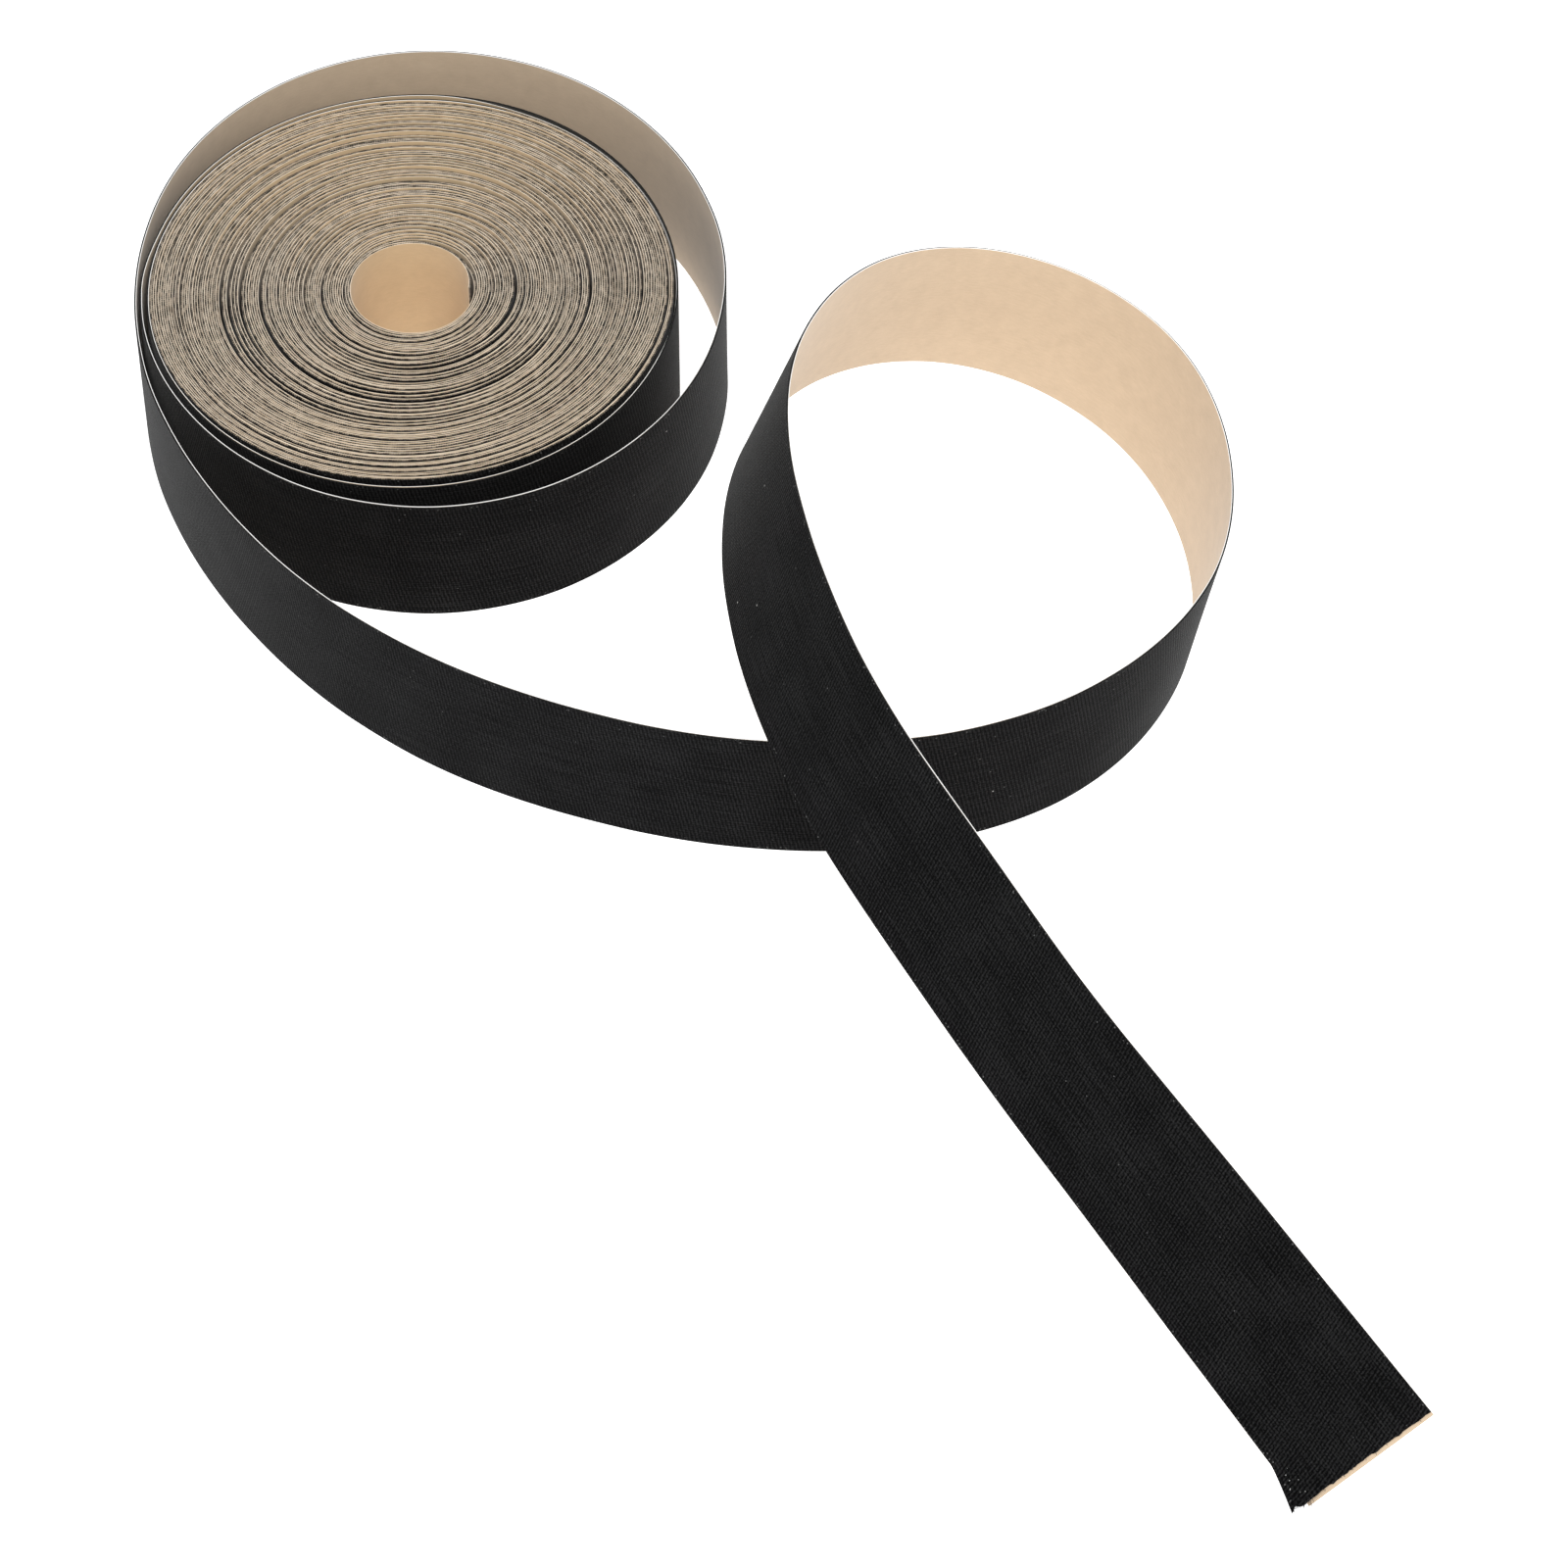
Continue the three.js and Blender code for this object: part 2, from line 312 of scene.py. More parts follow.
def mesh_object(name, points, polygons, materials, slots=None, uv=None):
    """A smooth-shaded object from points and faces that all have the same number of corners."""
    mesh = bpy.data.meshes.new(name)
    count, corners = polygons.shape
    mesh.vertices.add(len(points))
    mesh.vertices.foreach_set("co", points.astype(np.float32).ravel())
    mesh.loops.add(count * corners)
    mesh.loops.foreach_set("vertex_index", polygons.astype(np.int32).ravel())
    mesh.polygons.add(count)
    mesh.polygons.foreach_set("loop_start", np.arange(0, count * corners, corners, dtype=np.int32))
    for material in materials:
        mesh.materials.append(material)
    if slots is not None:
        mesh.polygons.foreach_set("material_index", slots)
    if uv is not None:
        layer = mesh.uv_layers.new(name="strip")
        layer.data.foreach_set("uv", uv[polygons.ravel()].astype(np.float32).ravel())
    mesh.update(calc_edges=True)
    mesh.polygons.foreach_set("use_smooth", np.ones(count, bool))
    mesh.set_sharp_from_angle(angle=SHARP_EDGE)
    mesh.validate()
    obj = bpy.data.objects.new(name, mesh)
    bpy.context.scene.collection.objects.link(obj)
    return obj


def solid_from_grids(name, inner, outer, uv, materials, rim=False):
    """Closed sheet between two grids, (along, across). materials are for its faces and its edges.

    With rim, the last column of its faces counts as edge.
    """
    rows, columns = inner.shape[:2]
    index = np.arange(rows * columns).reshape(rows, columns)
    low, high = index, index + rows * columns

    def quads(a, b, c, d):
        return np.stack([a, b, c, d], axis=-1).reshape(-1, 4)

    faces = [
        quads(high[:-1, :-1], high[1:, :-1], high[1:, 1:], high[:-1, 1:]),
        quads(low[:-1, :-1], low[:-1, 1:], low[1:, 1:], low[1:, :-1]),
    ]
    edges = [
        quads(low[:-1, 0], low[1:, 0], high[1:, 0], high[:-1, 0]),
        quads(low[:-1, -1], high[:-1, -1], high[1:, -1], low[1:, -1]),
        quads(low[0, :-1], high[0, :-1], high[0, 1:], low[0, 1:]),
        quads(low[-1, :-1], low[-1, 1:], high[-1, 1:], high[-1, :-1]),
    ]
    polygons = np.vstack(faces + edges)
    face_count = sum(len(part) for part in faces)
    slots = np.zeros(len(polygons), np.int32)
    slots[face_count:] = 1
    if rim:
        slots[columns - 2:face_count:columns - 1] = 1
    points = np.vstack([inner.reshape(-1, 3), outer.reshape(-1, 3)])
    uv = np.vstack([uv.reshape(-1, 2)] * 2)
    return mesh_object(name, points, polygons, materials, slots, uv)


# ---- Materials ----

class Nodes:
    """A principled material and the few node shapes that these materials need."""

    def __init__(self, name, **constants):
        self.material = bpy.data.materials.new(name)
        self.material.use_nodes = True
        self.tree = self.material.node_tree
        self.shader = self.tree.nodes["Principled BSDF"]
        for socket, value in constants.items():
            self.shader.inputs[socket.replace("_", " ")].default_value = value

    def link(self, value, socket):
        if isinstance(value, bpy.types.NodeSocket):
            self.tree.links.new(value, socket)
        else:
            socket.default_value = value

    def math(self, operation, *values):
        node = self.tree.nodes.new("ShaderNodeMath")
        node.operation = operation
        for value, socket in zip(values, node.inputs):
            self.link(value, socket)
        return node.outputs[0]

    def total(self, *parts):
        """Sum of values, each given with its weight."""
        sums = [self.math("MULTIPLY", value, weight) for value, weight in parts]
        whole = sums[0]
        for part in sums[1:]:
            whole = self.math("ADD", whole, part)
        return whole

    def wave(self, distance, length):
        """Sine of a distance, with this length from crest to crest."""
        return self.math("SINE", self.math("MULTIPLY", distance, 2 * math.pi / length))

    def strip_uv(self):
        """Distances along and across the tape, in millimetres, together and apart."""
        uv = self.tree.nodes.new("ShaderNodeUVMap")
        uv.uv_map = "strip"
        split = self.tree.nodes.new("ShaderNodeSeparateXYZ")
        self.link(uv.outputs[0], split.inputs[0])
        return uv.outputs[0], split.outputs[0], split.outputs[1]

    def noise(self, vector, scale, detail=2.0, stretch=(1, 1, 1)):
        mapping = self.tree.nodes.new("ShaderNodeMapping")
        mapping.inputs["Scale"].default_value = stretch
        self.link(vector, mapping.inputs["Vector"])
        node = self.tree.nodes.new("ShaderNodeTexNoise")
        self.link(mapping.outputs[0], node.inputs["Vector"])
        node.inputs["Scale"].default_value = scale
        node.inputs["Detail"].default_value = detail
        return node.outputs["Fac"]

    def centred_noise(self, vector, scale, detail=2.0, stretch=(1, 1, 1)):
        return self.math("SUBTRACT", self.noise(vector, scale, detail, stretch), 0.5)

    def specks(self, vector, scale, size):
        """1 inside sparse small dots, 0 elsewhere."""
        node = self.tree.nodes.new("ShaderNodeTexVoronoi")
        self.link(vector, node.inputs["Vector"])
        node.inputs["Scale"].default_value = scale
        return self.math("LESS_THAN", node.outputs["Distance"], size)

    def ramp(self, value, stops):
        node = self.tree.nodes.new("ShaderNodeValToRGB")
        elements = node.color_ramp.elements
        for element, (position, color) in zip(elements, stops):
            element.position = position
            element.color = (*color, 1)
        self.link(value, node.inputs[0])
        return node.outputs[0]

    def mix(self, factor, first, second):
        """first where the factor is 0, second where it is 1. second is a plain colour."""
        node = self.tree.nodes.new("ShaderNodeMix")
        node.data_type = "RGBA"
        self.link(factor, node.inputs["Factor"])
        self.link(first, node.inputs[6])
        self.link((*second, 1), node.inputs[7])
        return node.outputs[2]

    def bump(self, height, strength, distance):
        node = self.tree.nodes.new("ShaderNodeBump")
        node.inputs["Strength"].default_value = strength
        node.inputs["Distance"].default_value = distance
        self.link(height, node.inputs["Height"])
        self.link(node.outputs[0], self.shader.inputs["Normal"])

    def color(self, value):
        self.link(value, self.shader.inputs["Base Color"])


# The weave, in millimetres.
WEFT_SPACING = 0.38
WARP_SPACING = 0.50
RIB_SPACING = 0.61
RIB_TILT = math.radians(13)

# Where lint lies on the cloth, in millimetres.
FRAYED_LENGTH, FRAYED_WIDTH = 9, 2.4
LINTY_EDGE = 0.7
EDGE_LINT_SHARE = 0.22  # how much fainter it is along the edges

CLOTH_DARK = (0.0008, 0.0008, 0.0009)
CLOTH_LIGHT = (0.019, 0.019, 0.0195)
GREY_LINT = (0.13, 0.13, 0.13)
WHITE_LINT = (0.40, 0.40, 0.39)
CLEAN_CLOTH = (0.008, 0.008, 0.008)
# Near-white painted highlight for the liner edges of the outermost turns.
NEAR_WHITE_LINER_HIGHLIGHT = (0.98, 0.96, 0.92)
PAPER_BUMP = {"strength": 0.25, "distance": 0.03 * MM}


def lint_along_edges(nodes, uv, along, across):
    """Light specks where the cut frays, and fainter ones along both edges."""
    at_cut = nodes.math("GREATER_THAN", along, FREE_LENGTH - FRAYED_LENGTH)
    at_corner = nodes.math("MULTIPLY", at_cut, nodes.math("LESS_THAN", across, FRAYED_WIDTH))
    fraying = nodes.math("MULTIPLY", at_corner, nodes.specks(uv, scale=1.5, size=0.13))
    off_middle = nodes.math("ABSOLUTE", nodes.math("SUBTRACT", across, TAPE_WIDTH / 2))
    at_edge = nodes.math("GREATER_THAN", off_middle, TAPE_WIDTH / 2 - LINTY_EDGE)
    edge_lint = nodes.math("MULTIPLY", at_edge, nodes.specks(uv, scale=1.3, size=0.17))
    return nodes.math("MAXIMUM", fraying, nodes.math("MULTIPLY", edge_lint, EDGE_LINT_SHARE))


def cloth_material():
    """Plain weave with slanting ribs, cloudy tone, stray yarns and a little lint."""
    nodes = Nodes("woven_cloth", Roughness=0.9, Sheen_Weight=0.09, Sheen_Roughness=0.33,
                  Specular_IOR_Level=0.04)
    uv, along, across = nodes.strip_uv()
    weft = nodes.wave(along, 2 * WEFT_SPACING)
    warp = nodes.wave(across, 2 * WARP_SPACING)
    crossing = nodes.math("POWER", nodes.math("ABSOLUTE", nodes.math("MULTIPLY", weft, warp)), 0.6)
    skewed = nodes.total((along, 2 * math.pi * math.cos(RIB_TILT) / RIB_SPACING),
                         (across, 2 * math.pi * math.sin(RIB_TILT) / RIB_SPACING))
    ribs = nodes.math("MULTIPLY", nodes.math("SINE", skewed), 0.5)
    fuzz = nodes.centred_noise(uv, scale=3.0, detail=3.0)
    height = nodes.math("ADD", nodes.math("ADD", crossing, ribs), fuzz)
    nodes.bump(height, strength=0.5, distance=0.05 * MM)

    patch = nodes.centred_noise(uv, scale=0.12, detail=3.0)
    yarn = nodes.centred_noise(uv, scale=1.0, detail=2.0, stretch=(0.08, 3.0, 1))
    tone = nodes.total((crossing, 0.25), (ribs, 0.30), (fuzz, 1.1), (patch, 0.3), (yarn, 0.5))
    black = nodes.ramp(tone, [(0.0, CLOTH_DARK), (0.55, CLOTH_LIGHT)])
    lint = nodes.math("MULTIPLY", nodes.specks(uv, scale=0.33, size=0.035), 0.6)
    stray_lint = nodes.specks(uv, scale=0.13, size=0.018)
    dust = nodes.math("MAXIMUM", stray_lint, lint_along_edges(nodes, uv, along, across))
    speckled = nodes.mix(lint, black, GREY_LINT)
    nodes.color(nodes.mix(nodes.math("MULTIPLY", dust, 0.8), speckled, WHITE_LINT))
    return nodes.material


def cloth_edge_material(name, dark, light, clean_and_highlight_from=0.0):
    """The cloth's cut edge. From clean_and_highlight_from on along the tape it has no liner dust on it."""
    nodes = Nodes(name, Roughness=0.95, Sheen_Weight=0.1, Sheen_Roughness=0.5,
                  Specular_IOR_Level=0.1)
    uv, along, _ = nodes.strip_uv()
    yarn_ends = nodes.wave(along, WEFT_SPACING)
    patch = nodes.noise(uv, scale=0.9, detail=3.0)
    tone = nodes.math("ADD", nodes.math("MULTIPLY", yarn_ends, 0.12), patch)
    color = nodes.ramp(tone, [(0.40, dark), (0.70, light)])
    if clean_and_highlight_from:
        color = nodes.mix(nodes.math("GREATER_THAN", along, clean_and_highlight_from), color, CLEAN_CLOTH)
    nodes.color(color)
    nodes.bump(tone, strength=0.5, distance=0.04 * MM)
    return nodes.material


def yarn_material():
    nodes = Nodes("frayed_yarn", Roughness=0.9, Sheen_Weight=0.15, Sheen_Roughness=0.4,
                  Specular_IOR_Level=0.1)
    place = nodes.tree.nodes.new("ShaderNodeTexCoord").outputs["Object"]
    twist = nodes.noise(place, scale=4000.0)
    nodes.color(nodes.ramp(twist, [(0.3, (0.004, 0.004, 0.004)), (0.75, (0.05, 0.05, 0.05))]))
    nodes.bump(twist, strength=0.5, distance=0.03 * MM)
    return nodes.material


def paper_tone(nodes, uv):
    """How light the paper is: cloudy, with fibres along the tape and a fine grain."""
    cloudy = nodes.noise(uv, scale=0.35, detail=4.0)
    fibres = nodes.noise(uv, scale=2.2, detail=3.0, stretch=(0.35, 1.6, 1))
    grain = nodes.centred_noise(uv, scale=5.0)
    return nodes.total((cloudy, 0.5), (fibres, 0.5), (grain, 0.25))


def liner_material(name, dark, light):
    nodes = Nodes(name, Roughness=0.65, Specular_IOR_Level=0.25, Sheen_Weight=0.20,
                  Sheen_Roughness=0.5)
    uv, _, _ = nodes.strip_uv()
    tone = paper_tone(nodes, uv)
    nodes.color(nodes.ramp(tone, [(0.3, dark), (0.7, light)]))
    nodes.bump(tone, **PAPER_BUMP)
    return nodes.material


def liner_edge_material(name, dark, light, clean_and_highlight_from=0.0):
    """The liner's cut edge, between the dark and the light colour. Past the given distance along the
    tape it is the near-white painted highlight.
    """
    nodes = Nodes(name, Roughness=0.7, Specular_IOR_Level=0.3)
    uv, along, _ = nodes.strip_uv()
    tone = paper_tone(nodes, uv)
    color = nodes.ramp(tone, [(0.3, dark), (0.7, light)])
    if clean_and_highlight_from:
        # Past that distance the edge is the near-white painted highlight.
        color = nodes.mix(nodes.math("GREATER_THAN", along, clean_and_highlight_from), color, NEAR_WHITE_LINER_HIGHLIGHT)
    nodes.color(color)
    nodes.bump(tone, **PAPER_BUMP)
    return nodes.material


def adhesive_material():
    """Clear glossy adhesive, dark because the black cloth shows through it."""
    nodes = Nodes("adhesive_film", Roughness=0.35, Specular_IOR_Level=0.5)
    uv, _, _ = nodes.strip_uv()
    streaks = nodes.noise(uv, scale=0.8, detail=3.0, stretch=(0.2, 1.5, 1))
    nodes.color(nodes.ramp(streaks, [(0.3, (0.030, 0.028, 0.025)), (0.7, (0.065, 0.061, 0.054))]))
    nodes.bump(streaks, strength=0.3, distance=0.03 * MM)
    return nodes.material


# ---- The roll ----

def wound_radii():
    """Radius of the inner face of the strip at each station, from the bore outwards.

    The turns lie loosely: the air between them varies along the strip, and is shared out so that
    the roll keeps its size. The roll is a little narrower from front to back than across.
    """
    turns = int(WOUND_TURNS)
    columns = STEPS_PER_TURN
    angle = np.linspace(0, 2 * math.pi, columns + 1)
    along = np.arange(turns)[:, None] + np.arange(columns + 1)[None, :] / columns
    air = np.minimum(np.exp(wavering(along, 0, AIR_WAVES)), MOST_AIR)
    full_radius = BORE_RADIUS + PITCH * (turns - 1 + angle / (2 * math.pi))
    side = np.sin(angle)  # 1 at the back, -1 at the front
    slack = SLACK_ALL_ROUND + side ** 2 * (SLACK_FRONT_AND_BACK - SLACK_FRONT_OVER_MEAN * side)
    slack += SLACK_CORNER * np.clip(np.cos(angle - SLACK_CORNER_ANGLE), 0, 1) ** 4
    room = full_radius - slack - BORE_RADIUS - (turns - 1) * LAMINATE
    share = air[1:].sum(axis=0)
    radii = np.empty((turns, columns + 1))
    first_step = LAMINATE + room[0] * air[1, 0] / share[0]
    radii[0] = BORE_RADIUS + first_step * angle / (2 * math.pi)
    room = room - (radii[0] - BORE_RADIUS)
    for turn in range(1, turns):
        radii[turn] = radii[turn - 1] + LAMINATE + room * air[turn] / share
    return radii


def wound_route():
    """Place in turns and radius of the wound strip's inner face, station by station."""
    stacked = wound_radii()[:, :-1].ravel()
    count = int(WOUND_TURNS * STEPS_PER_TURN) + 1
    turns = np.arange(count) / STEPS_PER_TURN
    outermost = BORE_RADIUS + PITCH * turns + OUTER_SWAY * np.sin(2 * math.pi * turns)
    radius = outermost.copy()
    radius[:len(stacked)] = stacked
    leave = smoothstep((turns - WOUND_TURNS + 1 + LEAVING) / (2 * LEAVING))
    radius += (outermost - radius) * leave
    radius -= INNER_END_LIFT * np.clip(1 - turns / INNER_END_TURN, 0, 1) ** 2
    radius += OUTER_END_LIFT * smoothstep(1 - (WOUND_TURNS - turns) / OUTER_END_TURN)
    return turns, radius


wound_turns, wound_radius = wound_route()
wound_angle = 2 * math.pi * wound_turns
wound_length = np.concatenate([[0], np.cumsum(np.hypot(
    np.diff(wound_radius), wound_radius[1:] * np.diff(wound_angle)))])

# From here on along the tape, the cloth edges of the outermost turns are clean, and their liner edges
# take the near-white painted highlight.
CLEAN_AND_HIGHLIGHT_TURNS = 1.3
clean_and_highlight_from = wound_length[int((WOUND_TURNS - CLEAN_AND_HIGHLIGHT_TURNS) * STEPS_PER_TURN)]

cloth = cloth_material()
cloth_edge = cloth_edge_material("cloth_edge", (0.003, 0.003, 0.003), (0.02, 0.02, 0.02))
wound_cloth_edge = cloth_edge_material(
    "wound_cloth_edge", (0.012, 0.011, 0.009), (0.34, 0.28, 0.215), clean_and_highlight_from)
liner = liner_material("kraft_liner", (0.485, 0.370, 0.255), (0.565, 0.436, 0.304))
# The roll's liner is a lighter, warmer copy of the same kraft liner: painted light, so that the bore
# looks lit.
wound_liner = liner_material("wound_kraft_liner_painted_light", (0.575, 0.42, 0.25), (0.65, 0.48, 0.29))
# Near-white: the free strip's liner edge is a painted highlight line, not the paper's own tan.
liner_edge_highlight = liner_edge_material("liner_edge_highlight", (0.93, 0.92, 0.90), (1.0, 1.0, 0.99))
# Kraft tone at the dark end; the pale light end is painted glints on the roll's face.
wound_liner_edge_tone_and_glints = liner_edge_material(
    "wound_liner_edge_tone_and_glints", (0.55, 0.425, 0.30), (0.99, 0.89, 0.735), clean_and_highlight_from)
adhesive = adhesive_material()


def wound_layer(name, layer, bottom, top, materials):
    """One layer of the roll as a spiral sheet. bottom and top are heights along it."""
    heading = np.column_stack([np.cos(wound_angle), np.sin(wound_angle)])
    grids = []
    for height in layer:
        flat = heading * (wound_radius + height)[:, None]
        low = np.column_stack([flat, bottom])
        high = np.column_stack([flat, top])
        grids.append(np.stack([low, high], axis=1) * MM + roll_axis)
    across = np.column_stack([bottom, top])
    along = np.repeat(wound_length[:, None], 2, axis=1)
    uv = np.stack([along, across], axis=-1)
    return solid_from_grids(name, grids[0], grids[1], uv, materials)


def roll_pieces():
    """The three layers of the roll. Their edges are uneven, and settle at the outer end."""
    uneven = smoothstep((WOUND_TURNS - wound_turns) / EDGE_SETTLING)
    level = wavering(wound_turns, EDGE_LEVEL, EDGE_WAVES) * uneven
    proud = wavering(wound_turns, WOUND_PROUD, WOUND_PROUD_WAVES)
    proud = LINER_PROUD + (proud - LINER_PROUD) * uneven
    liner_top = TAPE_WIDTH + LINER_PROUD / 2 + level - WOUND_NARROWER * uneven
    cloth_top = liner_top - proud
    slipped = smoothstep((wound_turns - SLIP_FROM) / SLIP_EASE)
    liner_top -= SLIP * slipped * smoothstep((SLIP_TO - wound_turns) / SLIP_EASE)
    film_low, film_high = level + WOUND_FILM_INSETS[0], cloth_top - WOUND_FILM_INSETS[1]
    cloth_low = level + WOUND_CLOTH_INSET
    pieces = [
        wound_layer("wound_liner", LINER, level, liner_top, [wound_liner, wound_liner_edge_tone_and_glints]),
        wound_layer("wound_adhesive", ADHESIVE, film_low, film_high, [adhesive, adhesive]),
        wound_layer("wound_cloth", CLOTH, cloth_low, cloth_top, [cloth, wound_cloth_edge]),
    ]
    for piece, slot in zip(pieces, ("liner", "adhesive", "cloth")):
        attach(piece, "roll")
        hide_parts(f"inner_turn_{slot}", f"outer_turn_{slot}")
    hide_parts("wound_pack")
    return pieces


# ---- The free strip's pieces ----

def cut_line(across, short):
    """Where the scissors cut, along the strip. short is how far this layer stays back."""
    return FREE_LENGTH + CUT_PAST - CUT_SKEW * (1 - across) - short


def strip_piece(name, layer, start, end, materials, low=0.0, high=CLOTH_TOP, step=STEP,
                short=None, rim=False):
    """A stretch of one layer. low and high are its edges, as shares of the tape's width.

    With short, the stretch ends at the cut line, that far back. With rim, it has one more column
    that stands above the cloth, and draws back under the cloth along the tail.
    """
    rows = max(2, int(round((end - start) / step)) + 1)
    share = np.linspace(0, 1, rows)[:, None]
    across = low + (high - low) * np.linspace(0, 1, COLUMNS)
    if rim:
        across = np.append(across, high)
    across = np.repeat(across[None, :], rows, axis=0)
    finish = end if short is None else cut_line(across, short)
    along = start + (finish - start) * share + 0 * across
    if rim:
        hidden = smoothstep((along - HIDING[0]) / (HIDING[1] - HIDING[0]))
        across[:, -1] += (LINER_PROUD * (1 - HIDDEN_SHARE * hidden[:, -1])) / TAPE_WIDTH
        across += UNDERCUT / TAPE_WIDTH * hidden * (1 - across)
    inner, outer = strip_grid(along, across, layer)
    uv = np.stack([along, across * TAPE_WIDTH], axis=-1)
    return solid_from_grids(name, inner, outer, uv, materials, rim)


def cloth_stretch(name, start, end):
    return strip_piece(name, CLOTH, start, end, [cloth, cloth_edge])


def film_stretch(name, start, end, step=STEP, short=None):
    """A stretch of adhesive, a little narrower than the cloth."""
    return strip_piece(name, ADHESIVE, start, end, [adhesive, adhesive], FILM_INSET,
                       CLOTH_TOP - FILM_INSET, step, short)


def liner_stretch(name, start, end, short=None):
    return strip_piece(name, LINER, start, end, [liner, liner_edge_highlight], short=short, rim=True)


OUTWARD = np.array([-0.794, -0.608, 0.0])  # over the floor, away from the tail's lower edge


def cloth_tip():
    """The cloth's cut end: its lower corner has spread over the floor, and the cut is ragged."""
    rows = int(round((FREE_LENGTH - TAIL_CLOTH_END) / TIP_STEP)) + 1
    share = np.linspace(0, 1, rows)[:, None]
    across = CLOTH_TOP * np.linspace(0, 1, TIP_COLUMNS)[None, :] ** TIP_CROWDING + 0 * share
    ragged = wavering(across, 0, RAGGED_WAVES)
    notch = NOTCH_DEPTH * np.exp(-((across - NOTCH_PLACE) / NOTCH_WIDTH) ** 2)
    short = SHORT_OF_LINER + 4 * SHORT_IN_MIDDLE * across * (1 - across)
    along = TAIL_CLOTH_END + (cut_line(across, short) + ragged - notch - TAIL_CLOTH_END) * share
    inner, outer = strip_grid(along, across, CLOTH)

    left = FREE_LENGTH - CUT_SKEW + CUT_PAST - along
    reach = SPREAD * smoothstep(1 - left / SPREAD_LENGTH)
    reach = reach + CORNER_SPREAD * np.clip(1 - left / CORNER_LENGTH, 0, 1) ** 1.2
    margin = np.clip(1 - across / SPREAD_WIDTH, 0, 1) ** 1.6
    shift = (reach * margin)[..., None] * OUTWARD * MM
    uv = np.stack([along, across * TAPE_WIDTH], axis=-1)
    sheet = solid_from_grids(
        "tip_cloth_sheet", inner + shift, outer + shift, uv, [cloth, cloth_edge])
    return sheet, frayed_yarns((inner + outer) / 2 + shift)


YARNS = 34
YARN_SEED = 41
CORNER_YARNS = 20  # how many of them are at the lower corner
CORNER_WIDTH = 0.22  # the share of the columns that counts as corner
YARN_SIDES = 5
YARN_RINGS = 4
YARN_LENGTHS = (0.5, 0.8)  # shortest and longest, in millimetres
CORNER_YARN_LENGTHS = (0.5, 1.6)
YARN_RADII = (0.035, 0.06)
YARN_LEAST_HEIGHT = 0.07  # of its middle above the table
YARN_STRAY = 0.5  # how far a yarn may aim off the strip's direction, to each side
CORNER_LEAN = 0.5  # how far those at the corner lean outward
YARN_CURL = 0.2  # how far it may bend off its aim, as a share of its length


def yarn_rings(rng, middle, at_corner):
    """Rings of points of one yarn that comes out of the cut edge of the sheet with this middle."""
    column = int(rng.uniform(0, CORNER_WIDTH if at_corner else 1.0) * (middle.shape[1] - 1))
    root = middle[-2, column]
    ahead = unit(middle[-1, column] - middle[-6, column])
    stray = rng.uniform(-YARN_STRAY, YARN_STRAY, 3)
    aim = unit(ahead + stray + OUTWARD * (CORNER_LEAN if at_corner else 0.0))
    length = rng.uniform(*(CORNER_YARN_LENGTHS if at_corner else YARN_LENGTHS))
    curl = rng.uniform(-YARN_CURL, YARN_CURL, 3)
    radius = rng.uniform(*YARN_RADII)
    side = unit(np.cross(aim, (0.3, 0.2, 1.0)))
    other = np.cross(aim, side)
    points = []
    for t in np.linspace(0, 1, YARN_RINGS):
        center = root + (aim * t + curl * t * t) * length * MM
        center[2] = max(center[2], YARN_LEAST_HEIGHT * MM)
        for turn in 2 * math.pi * np.arange(YARN_SIDES) / YARN_SIDES:
            offset = side * math.cos(turn) + other * math.sin(turn)
            points.append(center + offset * radius * (1 - 0.5 * t) * MM)
    return points


def yarn_faces(base):
    """Faces of a closed tube whose rings start at this point."""
    faces = []
    for ring in range(YARN_RINGS - 1):
        for k in range(YARN_SIDES):
            a = base + ring * YARN_SIDES + k
            b = base + ring * YARN_SIDES + (k + 1) % YARN_SIDES
            faces.append((a, b, b + YARN_SIDES, a + YARN_SIDES))
    last = base + (YARN_RINGS - 1) * YARN_SIDES
    faces.append(tuple(base + k for k in reversed(range(YARN_SIDES))))
    faces.append(tuple(last + k for k in range(YARN_SIDES)))
    return faces


def frayed_yarns(middle):
    """Short ends of yarn along the cut, most of them at the lower corner."""
    rng = np.random.default_rng(YARN_SEED)
    points, faces = [], []
    for number in range(YARNS):
        faces += yarn_faces(len(points))
        points += yarn_rings(rng, middle, number < CORNER_YARNS)
    mesh = bpy.data.meshes.new("frayed_yarns")
    mesh.from_pydata([tuple(point) for point in points], [], faces)
    mesh.materials.append(yarn_material())
    for polygon in mesh.polygons:
        polygon.use_smooth = True
    yarns = bpy.data.objects.new("frayed_yarns", mesh)
    bpy.context.scene.collection.objects.link(yarns)
    return yarns


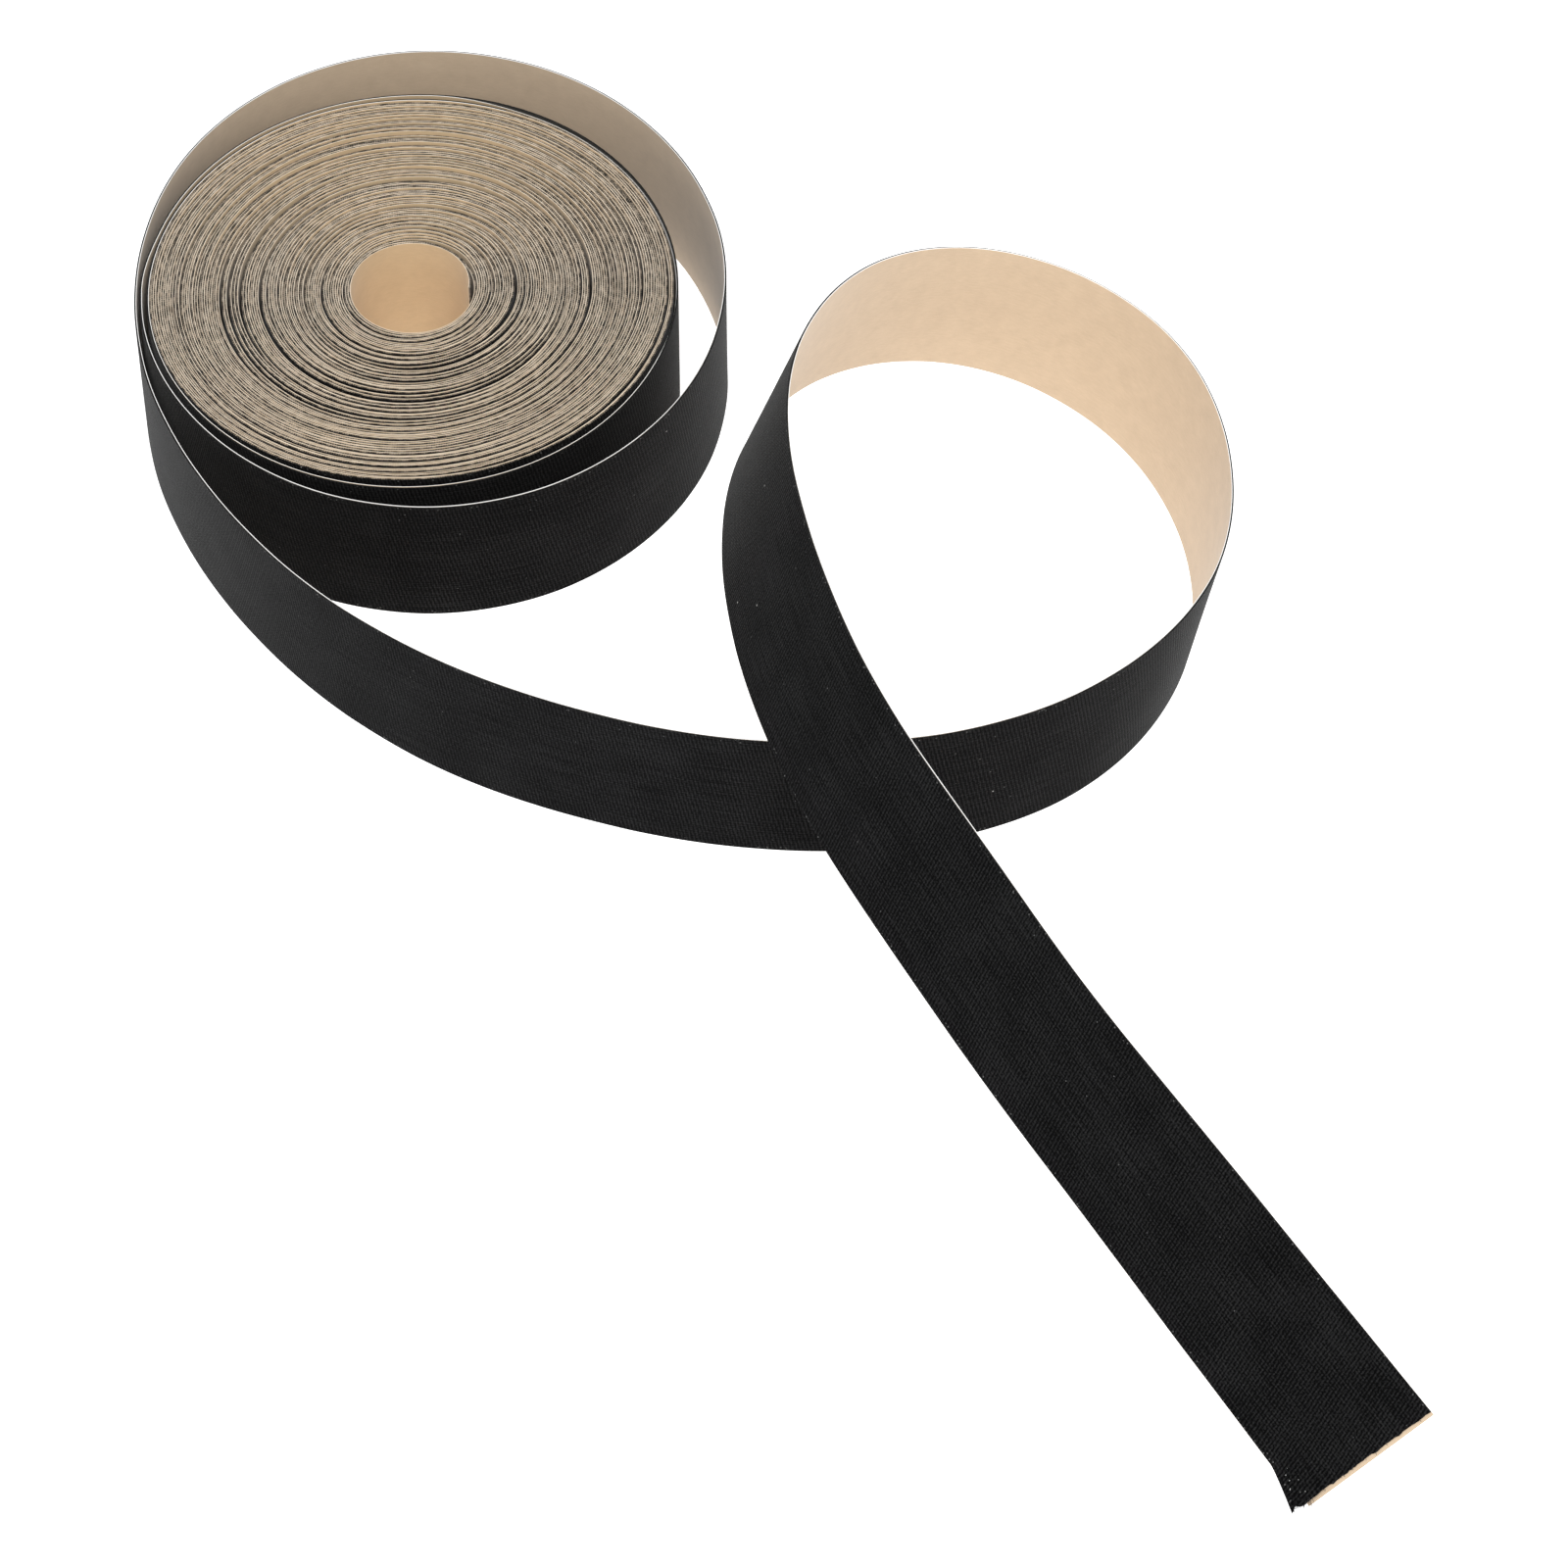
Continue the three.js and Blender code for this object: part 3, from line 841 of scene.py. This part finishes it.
def strip_pieces():
    """The pieces of the run, which stays, and those of the tail and of the tip."""
    run_cloth = cloth_stretch("run_cloth_sheet", FREE_START, RUN_END)
    run_adhesive = film_stretch("run_adhesive_film", FREE_START, RUN_END)
    run_liner = liner_stretch("run_liner_sheet", FREE_START, RUN_END)
    for piece in (run_cloth, run_adhesive, run_liner):
        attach(piece, "run")

    tail_cloth = cloth_stretch("tail_cloth_sheet", RUN_END, TAIL_CLOTH_END)
    tail_adhesive = film_stretch("tail_adhesive_film", RUN_END, TAIL_CLOTH_END)
    tail_liner = liner_stretch("tail_liner_sheet", RUN_END, FREE_LENGTH, short=0.0)
    for piece in (tail_cloth, tail_adhesive, tail_liner):
        at_middle(BEND_TOP - BEND_BEFORE)
        at_middle(BEND_TOP + BEND_AFTER)
        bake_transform(piece)

    tip_cloth, yarns = cloth_tip()
    tip_adhesive = film_stretch(
        "tip_adhesive_film", TAIL_CLOTH_END, FREE_LENGTH, TIP_STEP, FILM_SHORT)
    for piece in (tip_cloth, tip_adhesive, yarns):
        at_middle(PEEL_ROOT)
        at_middle(PEEL_ROOT + PEEL_BEND)
        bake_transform(piece)

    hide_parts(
        "loose_turn_cloth_front", "loose_turn_cloth_right", "loose_turn_cloth_back",
        "run_cloth_left", "run_cloth_front", "loop_cloth_right", "loop_cloth_back")
    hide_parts("loop_cloth_left", "tail_cloth")
    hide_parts("tip_cloth")
    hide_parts("run_adhesive")
    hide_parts("tail_adhesive")
    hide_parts("tip_adhesive")
    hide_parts("run_liner")
    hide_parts("tail_liner")
    run = (run_cloth, run_adhesive, run_liner)
    tail = (tail_cloth, tail_adhesive)
    return run, tail, tail_liner, (tip_cloth, tip_adhesive), yarns


# ---- Stage, light and camera ----

CAMERA_DISTANCE = 1.2
CAMERA_ELEVATION = math.radians(51.05)
CAMERA_LENS = 180.4
TARGET_FROM_ROLL = np.array([58.3, -79.6, 0.0]) * MM

FLOOR_SIZE = 8.0
FLOOR_DROP = 0.02 * MM
WHITE = (1.0, 1.0, 1.0, 1)
FLOOR_GREY = (0.86, 0.86, 0.86, 1)
FLOOR_GLOW = 0.75
WORLD_STRENGTH = 0.75

SHADE_RADII = (10.5, 40.5)  # in millimetres
SHADE_DROP = 0.01 * MM
SHADE_STEPS = 96
SHADE_BROWN = (0.25, 0.22, 0.19, 1)


def make_camera():
    data = bpy.data.cameras.new("camera")
    data.lens = CAMERA_LENS
    data.sensor_width = 36.0
    data.clip_end = 20.0
    camera = bpy.data.objects.new("camera", data)
    bpy.context.scene.collection.objects.link(camera)
    target = roll_axis + TARGET_FROM_ROLL
    back = np.array([0, -math.cos(CAMERA_ELEVATION), math.sin(CAMERA_ELEVATION)])
    camera.location = target + CAMERA_DISTANCE * back
    camera.rotation_euler = (math.pi / 2 - CAMERA_ELEVATION, 0, 0)
    bpy.context.scene.camera = camera


def make_floor():
    """A floor that glows, so that it is as white as the ground of the photo."""
    bpy.ops.mesh.primitive_plane_add(size=FLOOR_SIZE, location=(0, 0, -FLOOR_DROP))
    floor = bpy.context.object
    floor.name = "floor"
    nodes = Nodes("floor", Roughness=0.8, Specular_IOR_Level=0.1, Emission_Strength=FLOOR_GLOW,
                  Base_Color=FLOOR_GREY, Emission_Color=WHITE)
    floor.data.materials.append(nodes.material)


def make_shade():
    """A dull ring under the roll, so that the lit floor does not shine up between its turns."""
    around = 2 * math.pi * np.arange(SHADE_STEPS) / SHADE_STEPS
    heading = np.column_stack([np.cos(around), np.sin(around), np.zeros(SHADE_STEPS)])
    rings = [roll_axis + heading * radius * MM - (0, 0, SHADE_DROP) for radius in SHADE_RADII]
    index = np.arange(SHADE_STEPS)
    following = (index + 1) % SHADE_STEPS
    polygons = np.column_stack([index, index + SHADE_STEPS, following + SHADE_STEPS, following])
    nodes = Nodes("shade", Roughness=0.9, Specular_IOR_Level=0.1, Base_Color=SHADE_BROWN)
    mesh_object("shade", np.vstack(rings), polygons, [nodes.material])


def area_light(name, place, aim, size, power):
    data = bpy.data.lights.new(name, "AREA")
    data.shape = "RECTANGLE"
    data.size, data.size_y = size
    data.energy = power
    light = bpy.data.objects.new(name, data)
    bpy.context.scene.collection.objects.link(light)
    light.location = place
    toward = Vector(aim) - Vector(place)
    light.rotation_euler = toward.to_track_quat("-Z", "Y").to_euler()


def make_light():
    world = bpy.data.worlds.new("studio")
    world.use_nodes = True
    background = world.node_tree.nodes["Background"]
    background.inputs["Color"].default_value = WHITE
    background.inputs["Strength"].default_value = WORLD_STRENGTH
    bpy.context.scene.world = world
    area_light("key", place=(0.05, -0.75, 1.3), aim=(0, 0, 0), size=(0.8, 0.8), power=18)
    bpy.context.scene.view_settings.view_transform = "Standard"


make_camera()
roll = roll_pieces()
run, tail, tail_liner, tip, yarns = strip_pieces()
make_floor()
make_shade()
make_light()
